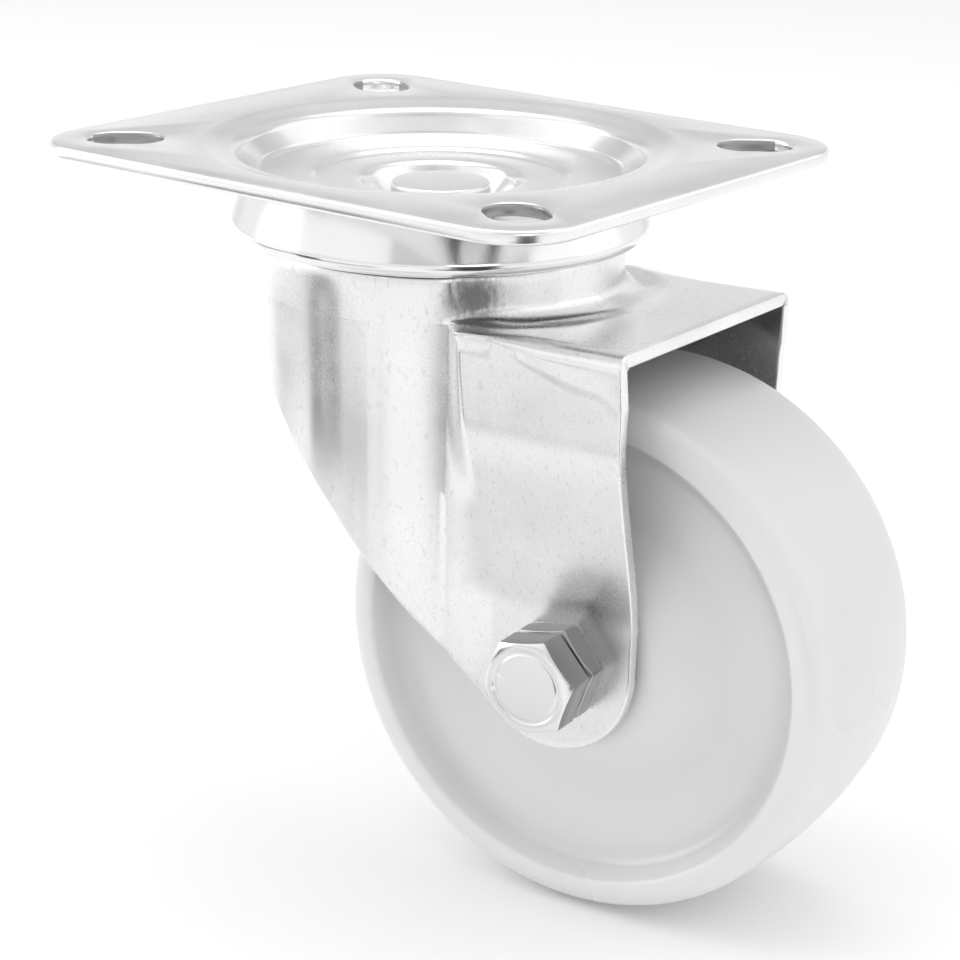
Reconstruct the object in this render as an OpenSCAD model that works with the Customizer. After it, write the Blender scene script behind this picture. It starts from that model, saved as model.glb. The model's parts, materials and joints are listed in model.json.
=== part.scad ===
// Swivel castor: a nylon wheel in a pressed steel fork, under a slotted top plate.
// The origin is the centre of the plate's top face, on the swivel axis, and +Z is up.
// The fork's own length runs along +X, and at rest it stands swivel_rest degrees round.

/* [Top plate] */
// Length of the plate
plate_l = 92; // [90:1:120]
// Width of the plate
plate_w = 80; // [76:1:110]
// Thickness of the plate's sheet
plate_t = 2; // [1.7:0.1:2.4]
// Radius of the plate's corners
plate_corner_r = 10; // [4:0.5:14]
// Spacing of the slots along the plate
slot_pitch_l = 71.5; // [70:0.5:76]
// Spacing of the slots across the plate
slot_pitch_w = 58; // [56:0.5:62]
// Width of each slot
slot_w = 8.4; // [6.5:0.1:9.5]
// Length of each slot, end to end
slot_l = 11; // [10:0.1:13]
// Radius of the pressed dish at its rim
dish_r = 29.6; // [29:0.1:31]
// Depth of the dish's floor below the plate's top face
dish_depth = 4.7; // [4:0.1:5.5]
// Radius of the small step in the dish's floor
step_r = 18.8; // [15:0.1:20]
// Height of that step
step_h = 0.6; // [0.3:0.1:1]
// Radius of the recess round the kingpin
recess_r = 11.3; // [10.8:0.1:13]
// Depth of the recess below the plate's top face
recess_depth = 10; // [9:0.1:10.6]

/* [Swivel head] */
// Thickness of the upper race
upper_race_t = 1.5; // [1:0.1:1.5]
// Largest radius of the upper race's flared skirt
upper_race_r = 30.9; // [30.7:0.1:32.5]
// Height of the upper race's widest ring below the plate's top face
upper_race_drop = 11.3; // [11:0.1:11.8]
// Radius of the upper race's curled lip
lip_curl_r = 1.7; // [1.6:0.1:2.2]
// Diameter of the balls
ball_d = 4.76; // [4:0.01:5]
// How deep each track takes a ball
track_depth = 0.38; // [0.2:0.01:0.6]
// Gap between a ball and its track
ball_clear = 0.04; // [0.02:0.01:0.08]
// Radius of the upper ring of balls
upper_ball_r = 23.4; // [21:0.1:24]
// Number of balls in the upper ring
upper_ball_n = 28; // [12:1:28]
// Radius of the lower ring of balls
lower_ball_r = 18.6; // [17.5:0.1:20]
// Number of balls in the lower ring
lower_ball_n = 22; // [10:1:22]
// Thickness of the lower race
lower_race_t = 2; // [1.5:0.1:2.4]
// Outer radius of the lower race
lower_race_r = 22.6; // [22:0.1:24]
// Diameter of the kingpin's shank
pin_d = 10; // [8:0.1:12]
// Diameter of the kingpin's upper head
pin_head_d = 14.3; // [13.4:0.1:15]
// Thickness of the kingpin's upper head
pin_head_h = 3.7; // [3:0.1:4.5]
// Thickness of the kingpin's formed lower head
pin_foot_h = 3; // [2:0.1:4]

/* [Fork] */
// Thickness of the fork's sheet
fork_t = 2; // [1.6:0.1:2.4]
// Outer radius of the fork's neck and leading skirt
neck_r = 27.8; // [27.2:0.1:28.2]
// Height of the crown's top below the plate's top face
crown_drop = 19.9; // [19.2:0.1:22]
// Half the fork's outer width at the crown
crown_half = 26.1; // [25.5:0.1:27]
// How far the legs close in, on each side, from the crown to the knee
knee_in = 0.7; // [0.3:0.1:2]
// Height of the knee, where the legs start to close in, below the plate's top face
knee_drop = 34; // [30:0.5:42]
// Half the fork's outer width at the axle
axle_half = 19.3; // [18.8:0.1:23]
// Distance from the swivel axis to the legs' rear edges at the crown
rear_x = 45.1; // [43:0.1:48]
// Distance from the swivel axis to the legs' rear edges at the axle
rear_low_x = 44.6; // [43:0.1:48]
// Radius of the legs' round lower ends
leg_end_r = 13; // [10:0.1:14]
// Slope of the legs' leading edge, in degrees from level
lead_slope = 50.5; // [46:0.5:56]
// Height of the skirt's front edge below the plate's top face
brow_drop = 25; // [24:0.5:30]
// Radius of the skirt at its lowest
skirt_low_r = 26.2; // [25.6:0.1:27.6]
// Height of the crown's bend at the rear edge
bend_rear = 3.4; // [2.6:0.1:5]
// Height of the crown's bend beside the neck
bend_front = 1.8; // [1:0.1:2.5]
// Angle that the fork stands round from the plate's length at rest
swivel_rest = 6; // [0:1:45]

/* [Wheel] */
// Diameter of the wheel over its tread
wheel_d = 80; // [70:0.5:84]
// Width of the wheel's tread
wheel_w = 32; // [28:0.5:33]
// Radius of the tread's edges
tread_edge_r = 3.4; // [2:0.1:5]
// How much the tread is crowned
tread_crown = 0.8; // [0.2:0.1:1.5]
// Width of the rim's side face
rim_h = 5.6; // [4:0.1:8]
// Depth of the wheel's side recess
web_recess = 4.2; // [2:0.1:6]
// Radius of the hub boss
hub_r = 12.5; // [11:0.1:15]
// Distance from the swivel axis to the axle
trail = 33.3; // [31:0.1:34.5]
// Height of the axle below the plate's top face
axle_drop = 68.4; // [66:0.1:72]

/* [Axle] */
// Diameter of the axle bolt
bolt_d = 8; // [6:0.1:8.6]
// Clearance on the bolt's diameter in the fork and the sleeve
bolt_clear = 0.4; // [0.2:0.1:0.8]
// Outer diameter of the axle sleeve
sleeve_d = 12; // [11.4:0.1:12.6]
// Width across flats of the bolt's head and the nuts
hex_af = 13; // [12:0.1:14]
// Thickness of the bolt's head
bolt_head_h = 5; // [4:0.1:6]
// Thickness of the jam nut behind the bolt's head
jam_nut_h = 3.8; // [3:0.1:5.5]
// Gap between the bolt's head and the jam nut
head_gap = 0.5; // [0.2:0.1:1.5]
// Turn of the hexagons about the axle, in degrees
hex_turn = 11; // [0:1:59]
// Height of the lock nut
lock_nut_h = 8; // [6:0.1:9]
// Thickness of the plain washer
washer_t = 1.6; // [1:0.1:2.5]
// Outer diameter of the plain washer
washer_d = 16; // [15:0.5:19]
// Length of bolt that stands out of the lock nut
bolt_end = 1.6; // [0.5:0.1:4]

/* [Roller bearing] */
// Diameter of the rollers
roller_d = 3; // [2.6:0.1:3.2]
// Number of rollers
roller_n = 10; // [6:1:11]
// Radial clearance between sleeve, rollers and hub
roller_clear = 0.05; // [0.02:0.01:0.08]
// Thickness of each thrust ring beside the hub
thrust_t = 0.9; // [0.6:0.1:1.2]
// Gap between the hub and each thrust ring
hub_gap = 0.3; // [0.2:0.1:0.5]
// Width of each end ring of the roller cage
cage_ring_w = 2; // [1:0.1:3]

/* [Hidden] */
$fn = 96;
eps = 0.01;

// Radii and heights of the swivel head, worked down from the plate
blend_w = 3.6;
dish_wall_r = dish_r - 1.8;
dish_under = -dish_depth - plate_t;
race_under = dish_under - upper_race_t;
ball_r = ball_d/2;
upper_ball_z = race_under + track_depth - ball_r;
roof_top = upper_ball_z - ball_r + track_depth;
roof_under = roof_top - fork_t;
lower_ball_z = roof_under + track_depth - ball_r;
lower_race_top = lower_ball_z - ball_r + track_depth;
recess_under = -recess_depth - plate_t;
recess_floor_r = recess_r - 2.5;
pin_foot_z = recess_under - lower_race_t;
pin_foot_r = pin_d/2 + 2.4;
roof_hole_r = recess_r + 2.4;
race_bore_r = step_r + 1.2;

// Heights and stations of the fork
crown_z = -crown_drop;
knee_z = -knee_drop;
axle_z = -axle_drop;
straight_z = axle_z + 8.3;
skirt_end_z = axle_z - leg_end_r;
end_x = rear_low_x - leg_end_r;
band_rear_x = 21;
band_front_x = 13.5;
bend_reach = 1;
bend_min = 1;
flat_n = 4;
band_n = 4;
arc_n = 12;
bend_rows = 4;
knee_rows = 2;
wall_rows = 4;
inner_half = axle_half - fork_t;
neck_inner_r = neck_r - fork_t - 0.3;
shoulder_r = 1.6;

// Bearing sizes
roller_pitch = sleeve_d/2 + roller_clear + roller_d/2;
hub_bore_r = roller_pitch + roller_d/2 + roller_clear;
hub_half = inner_half - thrust_t - hub_gap;
bolt_hole_r = (bolt_d + bolt_clear)/2;

function mix(a, b, s) = a + (b - a)*s;
function limit(s) = min(1, max(0, s));
function smooth(s) = s*s*(3 - 2*s);
function unit(v) = v/norm(v);

// An open profile moved sideways by d, to its right as it runs
function side_step(pts, d) = [for (i = [0:len(pts) - 1])
    let (a = unit(pts[min(i + 1, len(pts) - 1)] - pts[i == len(pts) - 1 ? i - 1 : i]),
        b = unit(pts[i == 0 ? 1 : i] - pts[max(i - 1, 0)]),
        na = [a[1], -a[0]], nb = [b[1], -b[0]], m = unit(na + nb))
    pts[i] + m*d/(m*na)];
function reversed(pts) = [for (i = [len(pts) - 1:-1:0]) pts[i]];
// Points of an arc about c, from angle a to angle b
function arc(c, r, a, b, n) = [for (i = [0:n]) c + r*[cos(mix(a, b, i/n)), sin(mix(a, b, i/n))]];

// Places its children as the swivelling fork stands at rest
module on_fork() {
    rotate([0, 0, swivel_rest]) children();
}

// Places its children on the axle, with their own +Z along the fork's +Y
module on_axle() {
    on_fork() translate([trail, 0, axle_z]) rotate([-90, 0, 0]) children();
}

// A rounded rectangle centred on the origin
module rounded_plate(l, w, r) {
    square([l - 2*r, w], center = true);
    square([l, w - 2*r], center = true);
    for (sx = [-1, 1], sy = [-1, 1]) translate([sx*(l/2 - r), sy*(w/2 - r)]) circle(r);
}

// One slot that points to the plate's centre
module slot_outline() {
    for (s = [-1, 1]) translate([s*(slot_l - slot_w)/2, 0]) circle(slot_w/2);
    square([slot_l - slot_w, slot_w], center = true);
}

// The upper face of the dish in half section, from the kingpin's bore out to the plate
function dish_profile() = concat(
    [[pin_d/2, -recess_depth]],
    arc([recess_floor_r - 0.8, -recess_depth + 1], 1, -90, -10, 4),
    arc([recess_r + 1.5, -dish_depth - step_h - 1.6], 1.6, 170, 90, 4),
    [[step_r - 0.5, -dish_depth - step_h], [step_r + 0.3, -dish_depth]],
    arc([dish_wall_r - 1.6, -dish_depth + 1.2], 1.2, -90, -15, 4),
    arc([dish_r + 1.8, -blend_w/2], blend_w/2, 165, 90, 6),
    [[dish_r + blend_w, 0]]);

module top_plate() {
    top = dish_profile();
    color([0.86, 0.87, 0.88]) difference() {
        union() {
            translate([0, 0, -plate_t]) linear_extrude(plate_t) difference() {
                rounded_plate(plate_l, plate_w, plate_corner_r);
                circle(dish_r + blend_w - 0.6);
            }
            rotate_extrude() polygon(concat(top, reversed(side_step(top, plate_t))));
        }
        for (sx = [-1, 1], sy = [-1, 1])
            translate([sx*slot_pitch_l/2, sy*slot_pitch_w/2, -plate_t - 1])
                rotate([0, 0, atan2(sy*slot_pitch_w, sx*slot_pitch_l)])
                    linear_extrude(plate_t + 2) slot_outline();
    }
}

// The ring-shaped groove that a ring of balls runs in
module ball_track(r, z) {
    rotate_extrude() translate([r, z]) circle(ball_r + ball_clear, $fn = 32);
}

// The upper race lies under the dish, and its skirt flares out over the fork's neck
module upper_race() {
    corner_r = upper_race_r - 3.1;
    outer = concat(
        [[race_bore_r, dish_under], [corner_r - 0.6, dish_under]],
        arc([corner_r, dish_under - 1.2], 1.2, 90, 25, 4),
        arc([upper_race_r - lip_curl_r, -upper_race_drop], lip_curl_r, 30, -75, 8));
    color([0.88, 0.88, 0.89]) difference() {
        rotate_extrude() polygon(concat(outer, reversed(side_step(outer, upper_race_t))));
        ball_track(upper_ball_r, upper_ball_z);
    }
}

// The lower race hangs from the kingpin, and holds the fork up against the upper balls
module lower_race() {
    rise = recess_under - lower_race_top;
    centre_r = pin_foot_r + 1.6;
    upper = [[pin_d/2, recess_under], [centre_r, recess_under], [centre_r + rise*0.55, lower_race_top],
        [lower_race_r - 1.2, lower_race_top], [lower_race_r, lower_race_top + 1]];
    color([0.8, 0.81, 0.82]) difference() {
        rotate_extrude() polygon(concat(upper, reversed(side_step(upper, lower_race_t))));
        ball_track(lower_ball_r, lower_ball_z);
    }
}

// A headed rivet that clamps the plate and the lower race together
module kingpin() {
    head_r = pin_head_d/2;
    head_top = -recess_depth + pin_head_h;
    color([0.82, 0.82, 0.8]) rotate_extrude() polygon(concat(
        [[0, head_top]],
        arc([head_r - 0.7, head_top - 0.7], 0.7, 90, 0, 4),
        [[head_r, -recess_depth], [pin_d/2, -recess_depth], [pin_d/2, pin_foot_z],
            [pin_foot_r, pin_foot_z]],
        arc([pin_foot_r - 1.6, pin_foot_z - pin_foot_h + 1.6], 1.6, 0, -90, 4),
        [[0, pin_foot_z - pin_foot_h]]));
}

// A ring of separate balls
module ball_ring(r, z, n) {
    for (i = [0:n - 1]) rotate([0, 0, 360*i/n]) translate([r, 0, z]) sphere(ball_r);
}

module upper_balls() {
    color([0.7, 0.71, 0.73]) ball_ring(upper_ball_r, upper_ball_z, upper_ball_n);
}

module lower_balls() {
    color([0.7, 0.71, 0.73]) ball_ring(lower_ball_r, lower_ball_z, lower_ball_n);
}

// Half-width of the fork's outer face at a height: the legs close in from knee to axle
function leg_half(z) = z > knee_z
    ? crown_half - knee_in*limit((crown_z - z)/(crown_z - knee_z))
    : mix(crown_half - knee_in, axle_half, limit((knee_z - z)/(knee_z - straight_z)));
// Radius of the leading skirt at a height
function skirt_r(z) = mix(neck_r - 0.1, skirt_low_r, limit((crown_z - z)/(crown_z - skirt_end_z)));

// Plan point i of the near side at a height, set in by off and by the bend's inset
function leg_point(i, z, off, inset, rear) =
    i < flat_n
        ? [mix(rear, band_rear_x, i/(flat_n - 1)), -(leg_half(z) - off - inset)]
    : i < flat_n + band_n
        ? let (s = (i - flat_n + 1)/(band_n + 1), r = skirt_r(z) - off)
            [mix(band_rear_x, band_front_x, s),
            -mix(leg_half(z) - off - inset, sqrt(r*r - band_front_x*band_front_x), smooth(s))]
    : let (r = skirt_r(z) - off, first = acos(band_front_x/r),
        a = mix(first, 180, (i - flat_n - band_n)/arc_n))
        [r*cos(a), -r*sin(a)];
// Share of the crown's bend at plan point i: whole along the leg, and none on the skirt
function bend_share(i) = i < flat_n ? 1
    : i < flat_n + band_n ? 1 - smooth((i - flat_n + 1)/(band_n + 1)) : 0;
// Height of the crown's bend at plan point i, which grows to the rear
function bend_rise(i, off) = max(bend_min/2,
    (i < flat_n ? mix(bend_rear, bend_front, i/(flat_n - 1)) : mix(bend_min, bend_front, bend_share(i))) - off);
function bend_inset(i, off) = bend_reach*bend_rise(i, off)*bend_share(i);

// Height of plan point i in a row: down the bend, to the knee, and to the straight leg's end
function row_z(row, i, off, low) =
    let (rise = bend_rise(i, off), top = crown_z - off, past = row - bend_rows, wall = past - knee_rows)
    past <= 0 ? top - rise*(1 - cos(90*row/bend_rows))
    : wall <= 0 ? mix(top - rise, knee_z, past/knee_rows)
    : wall <= wall_rows ? mix(knee_z, straight_z, wall/wall_rows) : low;
// One row of the fork's solid: the near side forwards, then the far side back
function fork_row(row, off, rear, low) =
    let (half = flat_n + band_n + arc_n,
        turn = 90*min(row, bend_rows)/bend_rows,
        near = [for (i = [0:half])
            let (z = row_z(row, i, off, low),
                p = leg_point(i, z, off, bend_inset(i, off)*(1 - sin(turn)), rear))
            [p[0], p[1], z]])
    concat(near, [for (i = [half - 1:-1:0]) [near[i][0], -near[i][1], near[i][2]]]);

// The fork's outer or inner form as one solid, flat at its rear and its two ends
module fork_form(off, rear, low) {
    rows = bend_rows + knee_rows + wall_rows + 1;
    half = flat_n + band_n + arc_n;
    n = 2*half + 1;
    points = [for (row = [0:rows]) each fork_row(row, off, rear, low)];
    sides = [for (row = [0:rows - 1], i = [0:n - 1])
        let (a = row*n + i, b = row*n + (i + 1)%n)
        each [[a, b + n, b], [a, a + n, b + n]]];
    strips = [for (i = [0:half - 1]) i == half - 1 ? [i, i + 1, i + 2] : [i, i + 1, 2*half - i - 1, 2*half - i]];
    low_strips = [for (strip = strips) [for (i = [len(strip) - 1:-1:0]) rows*n + strip[i]]];
    polyhedron(points, concat(sides, strips, low_strips));
}

// The fork's side view: a straight rear edge, a round end and a sloping leading edge
module fork_side() {
    out = [-sin(lead_slope), -cos(lead_slope)];
    touch = [end_x, axle_z] + leg_end_r*out;
    run = (-brow_drop - touch[1])/sin(lead_slope);
    brow = touch + run*[-cos(lead_slope), sin(lead_slope)];
    polygon(concat([[-neck_r - 2, 0], [rear_x, 0], [rear_x, crown_z]],
        arc([end_x, axle_z], leg_end_r, 0, -90 - lead_slope, 18),
        [brow + [1.7, -2.06], brow + [-0.8, -0.4], brow + [-4, 0], [-neck_r - 2, -brow_drop]]));
}

// The neck with its rounded shoulder, before it is hollowed from below
module neck_plug() {
    rotate_extrude() polygon(concat(
        [[0, roof_top]],
        arc([neck_r - shoulder_r, roof_top - shoulder_r], shoulder_r, 90, 0, 5),
        [[neck_r, crown_z - fork_t/2], [0, crown_z - fork_t/2]]));
}

// The rounded foot of the neck, where it stands on the flat of the crown
module neck_foot() {
    r = 2;
    intersection() {
        rotate_extrude() polygon(concat([[neck_r - 1, crown_z - 1], [neck_r - 1, crown_z + r]],
            arc([neck_r + r, crown_z + r - 0.1], r, 176, 270, 6), [[neck_r + r, crown_z - 1]]));
        translate([band_front_x, -crown_half + 3, crown_z - 1])
            cube([rear_x, 2*crown_half - 6, r + 2]);
    }
}

module fork() {
    color([0.84, 0.85, 0.86]) on_fork() difference() {
        union() {
            intersection() {
                difference() {
                    fork_form(0, rear_x + 3, skirt_end_z - 2);
                    fork_form(fork_t, rear_x + 8, skirt_end_z - 4);
                }
                rotate([90, 0, 0]) linear_extrude(4*crown_half, center = true) fork_side();
            }
            neck_plug();
            neck_foot();
        }
        translate([0, 0, crown_z - 4]) cylinder(roof_under - crown_z + 4, r = neck_inner_r);
        translate([0, 0, roof_under - 1]) cylinder(fork_t + 2, r = roof_hole_r);
        translate([trail, 0, axle_z]) rotate([90, 0, 0])
            cylinder(4*crown_half, r = bolt_hole_r, center = true);
        ball_track(upper_ball_r, upper_ball_z);
        ball_track(lower_ball_r, lower_ball_z);
    }
}

// A hexagon with its corners turned off at one face or at both
module hexagon(h, low_turned, high_turned) {
    corner = hex_af/2/cos(30);
    intersection() {
        rotate([0, 0, -hex_turn]) cylinder(h, r = corner, $fn = 6);
        union() {
            translate([0, 0, low_turned ? 0 : -1])
                cylinder(low_turned ? 1 : 2, r1 = low_turned ? hex_af/2 - 0.2 : corner + 1, r2 = corner + 1);
            translate([0, 0, 1]) cylinder(h - 2, r = corner + 1);
            translate([0, 0, h - 1])
                cylinder(high_turned ? 1 : 2, r1 = corner + 1, r2 = high_turned ? hex_af/2 - 0.2 : corner + 1);
        }
    }
}

module axle_bolt() {
    head_z = -axle_half - jam_nut_h - head_gap - bolt_head_h;
    end_z = axle_half + washer_t + lock_nut_h + bolt_end;
    color([0.86, 0.86, 0.84]) on_axle() {
        translate([0, 0, head_z]) hexagon(bolt_head_h, true, false);
        translate([0, 0, head_z + 1]) cylinder(end_z - head_z - 1.8, d = bolt_d);
        translate([0, 0, end_z - 0.8]) cylinder(0.8, d1 = bolt_d, d2 = bolt_d - 1.4);
    }
}

module jam_nut() {
    color([0.72, 0.71, 0.68]) on_axle() difference() {
        translate([0, 0, -axle_half - jam_nut_h]) hexagon(jam_nut_h, true, true);
        translate([0, 0, -axle_half - jam_nut_h - 1]) cylinder(jam_nut_h + 2, d = bolt_d);
    }
}

// The lock nut has a round collar that holds its plastic ring
module lock_nut() {
    collar_h = lock_nut_h*0.28;
    color([0.8, 0.8, 0.78]) on_axle() translate([0, 0, axle_half + washer_t]) difference() {
        union() {
            hexagon(lock_nut_h - collar_h, true, false);
            translate([0, 0, lock_nut_h - collar_h]) cylinder(collar_h - 0.7, r = hex_af/2 - 0.6);
            translate([0, 0, lock_nut_h - 0.7]) cylinder(0.7, r1 = hex_af/2 - 0.6, r2 = hex_af/2 - 1.6);
        }
        translate([0, 0, -1]) cylinder(lock_nut_h + 2, d = bolt_d);
    }
}

// A flat ring on the axle, from z to z + t
module axle_ring(z, t, outer, bore) {
    on_axle() difference() {
        translate([0, 0, z]) cylinder(t, r = outer);
        translate([0, 0, z - 1]) cylinder(t + 2, r = bore);
    }
}

module axle_washer() {
    color([0.82, 0.82, 0.82]) axle_ring(axle_half, washer_t, washer_d/2, bolt_hole_r);
}

// The sleeve is clamped between the legs, and the rollers run on it
module axle_sleeve() {
    color([0.75, 0.76, 0.78]) axle_ring(-inner_half, 2*inner_half, sleeve_d/2, bolt_hole_r);
}

module thrust_ring_near() {
    color([0.3, 0.31, 0.33]) axle_ring(-inner_half, thrust_t, hub_bore_r + 1.6, sleeve_d/2);
}

module thrust_ring_far() {
    color([0.3, 0.31, 0.33]) axle_ring(inner_half - thrust_t, thrust_t, hub_bore_r + 1.6, sleeve_d/2);
}

// Length between the cage's two end faces, clear of the thrust rings
cage_half = hub_half - 0.4;
roller_half = cage_half - cage_ring_w - 0.1;

module bearing_rollers() {
    color([0.7, 0.71, 0.73]) on_axle() for (i = [0:roller_n - 1])
        rotate([0, 0, 360*i/roller_n]) translate([roller_pitch, 0, -roller_half])
            cylinder(2*roller_half, d = roller_d);
}

// The cage is two end rings and a bar between each pair of rollers
module roller_cage() {
    inner = sleeve_d/2 + 0.15;
    outer = hub_bore_r - 0.15;
    bar_w = 2*PI*roller_pitch/roller_n - roller_d - 0.5;
    color([0.2, 0.3, 0.5]) on_axle() {
        for (z = [-cage_half, cage_half - cage_ring_w]) translate([0, 0, z])
            linear_extrude(cage_ring_w) difference() {
                circle(outer);
                circle(inner);
            }
        for (i = [0:roller_n - 1]) rotate([0, 0, 360*(i + 0.5)/roller_n])
            translate([inner + 0.35, -bar_w/2, -cage_half + cage_ring_w/2])
                cube([outer - inner - 0.7, bar_w, 2*cage_half - cage_ring_w]);
    }
}

// The wheel's outline in half section, from the bore's near end round to the far end
function wheel_side() =
    let (half = wheel_w/2, r = wheel_d/2, lip_r = r - rim_h, web_z = half - web_recess)
    concat(
        [[hub_bore_r, hub_half]],
        arc([hub_r - 1.2, hub_half - 1.2], 1.2, 90, 10, 3),
        arc([hub_r + 5.2, web_z + 3.2], 3.2, 190, 270, 4),
        arc([lip_r - 3.4, web_z + 2.6], 2.6, 270, 345, 4),
        arc([lip_r + 0.9, half - 0.9], 0.9, 165, 90, 3),
        arc([r - tread_crown - tread_edge_r, half - tread_edge_r], tread_edge_r, 90, 8, 5),
        [for (s = [0.8, 0.6, 0.4, 0.2, 0]) [r - tread_crown*s*s, (half - tread_edge_r)*s]]);

module wheel() {
    side = wheel_side();
    far = [for (i = [len(side) - 2:-1:0]) [side[i][0], -side[i][1]]];
    color([0.95, 0.95, 0.93]) on_axle() rotate_extrude() polygon(concat(side, far));
}

top_plate();
upper_race();
lower_race();
kingpin();
upper_balls();
lower_balls();
fork();
axle_bolt();
jam_nut();
lock_nut();
axle_washer();
axle_sleeve();
thrust_ring_near();
thrust_ring_far();
bearing_rollers();
roller_cage();
wheel();
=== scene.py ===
import json
import math

import bmesh
import bpy
from bpy.props import FloatProperty, FloatVectorProperty, PointerProperty
from mathutils import Matrix, Vector


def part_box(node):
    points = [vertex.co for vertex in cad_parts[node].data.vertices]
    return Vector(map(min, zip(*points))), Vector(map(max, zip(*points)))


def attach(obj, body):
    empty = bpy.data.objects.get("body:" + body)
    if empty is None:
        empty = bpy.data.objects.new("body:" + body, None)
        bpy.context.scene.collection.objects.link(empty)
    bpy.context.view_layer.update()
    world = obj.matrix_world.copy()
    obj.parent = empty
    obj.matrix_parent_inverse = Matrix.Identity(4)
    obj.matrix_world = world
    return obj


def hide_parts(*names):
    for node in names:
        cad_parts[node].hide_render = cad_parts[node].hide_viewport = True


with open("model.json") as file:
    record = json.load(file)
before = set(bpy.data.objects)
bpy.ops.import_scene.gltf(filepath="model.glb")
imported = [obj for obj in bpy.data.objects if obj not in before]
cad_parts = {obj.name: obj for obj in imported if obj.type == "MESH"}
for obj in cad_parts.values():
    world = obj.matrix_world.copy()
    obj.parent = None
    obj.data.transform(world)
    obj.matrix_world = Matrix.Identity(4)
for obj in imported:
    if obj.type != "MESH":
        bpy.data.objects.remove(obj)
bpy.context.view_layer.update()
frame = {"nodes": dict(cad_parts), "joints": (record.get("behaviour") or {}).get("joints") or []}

bl_info = {
    "name": "Swivel Castor", "version": (1, 0, 0), "blender": (4, 5, 0),
    "location": "View3D > Sidebar > Castor",
    "description": "Builds the visible pieces of a swivel castor round its packed solids",
    "category": "Object",
}

MM = 0.001
PI = math.pi
# Edges that turn by more than this are shaded as sharp.
SHARP_ANGLE = math.radians(35)

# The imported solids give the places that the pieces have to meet.
WHEEL_JOINT = next(j for j in frame["joints"] if j["name"] == "wheel_spin")
AXLE = Vector(WHEEL_JOINT["pos_m"]) / MM
SWIVEL_REST = math.atan2(AXLE.y, AXLE.x)
TRAIL = math.hypot(AXLE.x, AXLE.y)
AXLE_Z = AXLE.z


def node_box(node):
    """Lowest and highest corners of a solid, in millimetres."""
    low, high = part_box(node)
    return low / MM, high / MM


PLATE_HIGH = node_box("top_plate")[1]
RACE_HIGH = node_box("upper_race")[1]
PIN_LOW, PIN_HIGH = node_box("kingpin")
WHEEL_LOW, WHEEL_HIGH = node_box("wheel")

# Floor of the cup in the dish, where the kingpin's head sits
PIN_SEAT = -10.0

# The photograph's camera, with its focal length and width in pixels
SENSOR_WIDTH = 36
FOCAL_PIXELS = 2555.963
PHOTO_PIXELS = 960
CAMERA_PLACE = (0.23022, -0.28886, 0.07489)
CAMERA_RIGHT = Vector((0.7893, 0.61378, 0.01643))
CAMERA_UP = Vector((-0.2121, 0.24745, 0.9454))

# Turns and moves a shape drawn in the fork's own axes, and one drawn on the axle.
TO_FORK = Matrix.Rotation(SWIVEL_REST, 4, "Z")
TO_AXLE = (TO_FORK @ Matrix.Translation((TRAIL, 0, AXLE_Z)) @ Matrix.Rotation(-PI / 2, 4, "X"))


# Sizes and colours that a user would change

def length(what, default, **limits):
    """A property for a length in millimetres."""
    return FloatProperty(name=what, description=what + ", mm", default=default, **limits)


def colour(name, description, default):
    return FloatVectorProperty(name=name, description="Colour of " + description,
                               subtype="COLOR", default=default, min=0, max=1)


class PlateSettings(bpy.types.PropertyGroup):
    sheet: length("Thickness of the plate", 2.0, min=1.5, max=3)
    corner: length("Radius of the plate's corners", 10.0)
    edge: length("Rounding of the plate's edges", 0.55)
    slot_width: length("Width of a slot", 8.4)
    slot_length: length("Length of a slot", 11.0)
    slot_across: length("Spacing along the plate", 71.5)
    slot_along: length("Spacing across the plate", 58.0)
    dish: length("Radius of the dish at its rim", 29.6)
    depth: length("Depth of the dish's floor", 4.7)


class ForkSettings(bpy.types.PropertyGroup):
    sheet: length("Thickness of the fork's sheet", 2.0)
    neck: length("Radius of the neck and skirt", 27.8)
    skirt_low: length("Radius of the skirt at its foot", 26.2)
    crown: length("Height of the crown", -19.9)
    crown_half: length("Half the width at the crown", 26.1)
    axle_half: length("Half the width at the axle", 19.3)
    rear: length("Rear edge from the swivel axis", 45.1)
    rear_low: length("Rear edge at the axle", 44.6)
    leg_end: length("Radius of the legs' ends", 13.0)
    slope: FloatProperty(name="Slope", description="Slope of the leading edge",
                         subtype="ANGLE", default=math.radians(50.5))
    brow: length("Height of the skirt's front edge", -25.0)
    lean: FloatProperty(name="Lean", default=0.04,
                        description="Fall of the crown across the fork, mm for each mm")


class AxleSettings(bpy.types.PropertyGroup):
    bolt: length("Diameter of the axle bolt", 8.0)
    across: length("Width of the hexagons", 13.0)
    head: length("Thickness of the bolt's head", 5.0)
    jam_nut: length("Thickness of the jam nut", 3.8)
    gap: length("Gap between the head and the jam nut", 0.7)
    hex_turn: FloatProperty(name="Turn", description="Turn of the hexagons",
                            subtype="ANGLE", default=math.radians(11))
    washer: length("Thickness of the washer", 1.6)
    washer_width: length("Diameter of the washer", 16.0)
    lock_nut: length("Height of the lock nut", 8.0)
    bolt_end: length("Bolt that stands out of the lock nut", 1.6)


class WheelSettings(bpy.types.PropertyGroup):
    width: length("Width of the wheel", 32.0)
    crowning: length("Crowning of the tread", 0.8)
    edge: length("Radius of the tread's edges", 3.4)
    rim: length("Width of the rim's side face", 5.6)
    recess: length("Depth of the side recess", 4.2)
    hub: length("Radius of the hub boss", 12.5)
    bore: length("Radius of the hub's bore", 9.1)


class FinishSettings(bpy.types.PropertyGroup):
    zinc: colour("Zinc", "the zinc plate", (0.87, 0.87, 0.87))
    dull_zinc: colour("Dull Zinc", "the duller fasteners", (0.62, 0.61, 0.59))
    nylon: colour("Nylon", "the wheel", (0.70, 0.70, 0.70))


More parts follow.
